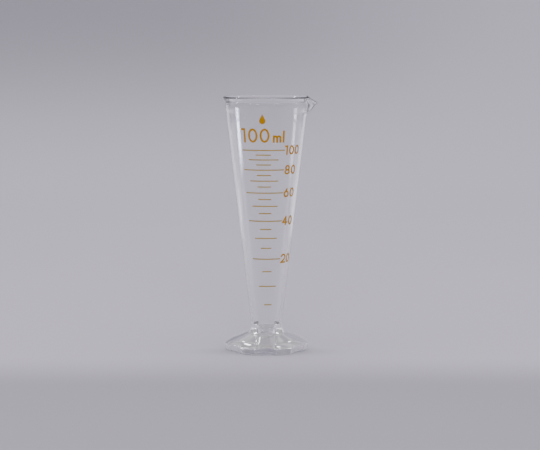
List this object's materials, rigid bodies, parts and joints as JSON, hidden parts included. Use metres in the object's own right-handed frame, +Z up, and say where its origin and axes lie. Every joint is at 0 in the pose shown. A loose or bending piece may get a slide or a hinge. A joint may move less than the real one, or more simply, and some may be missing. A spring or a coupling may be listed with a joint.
{
  "type": "conical graduated measure",
  "caption": "Conical glass graduate with a pouring lip, a scalloped pressed foot and a fired amber volume scale, for measuring liquids by the darkroom sink.",
  "frame": {"origin": "centre of the foot's resting face, on the cone's axis", "axes": "+Z up along the cone's axis, +X towards the pouring lip, -Y towards the printed scale"},
  "size_m": [0.0635, 0.0584, 0.172],
  "materials": {
    "clear_glass": "clear, fire-polished, smooth",
    "amber_enamel": "opaque fired enamel, satin, amber"
  },
  "bodies": {
    "root": {"cone": "clear_glass", "foot": "clear_glass", "long_lines": "amber_enamel", "medium_lines": "amber_enamel", "short_lines": "amber_enamel", "numeral_20": "amber_enamel", "numeral_40": "amber_enamel", "numeral_60": "amber_enamel", "numeral_80": "amber_enamel", "numeral_100": "amber_enamel", "legend_figures": "amber_enamel", "legend_unit": "amber_enamel", "drop_mark": "amber_enamel"}
  },
  "joints": []
}
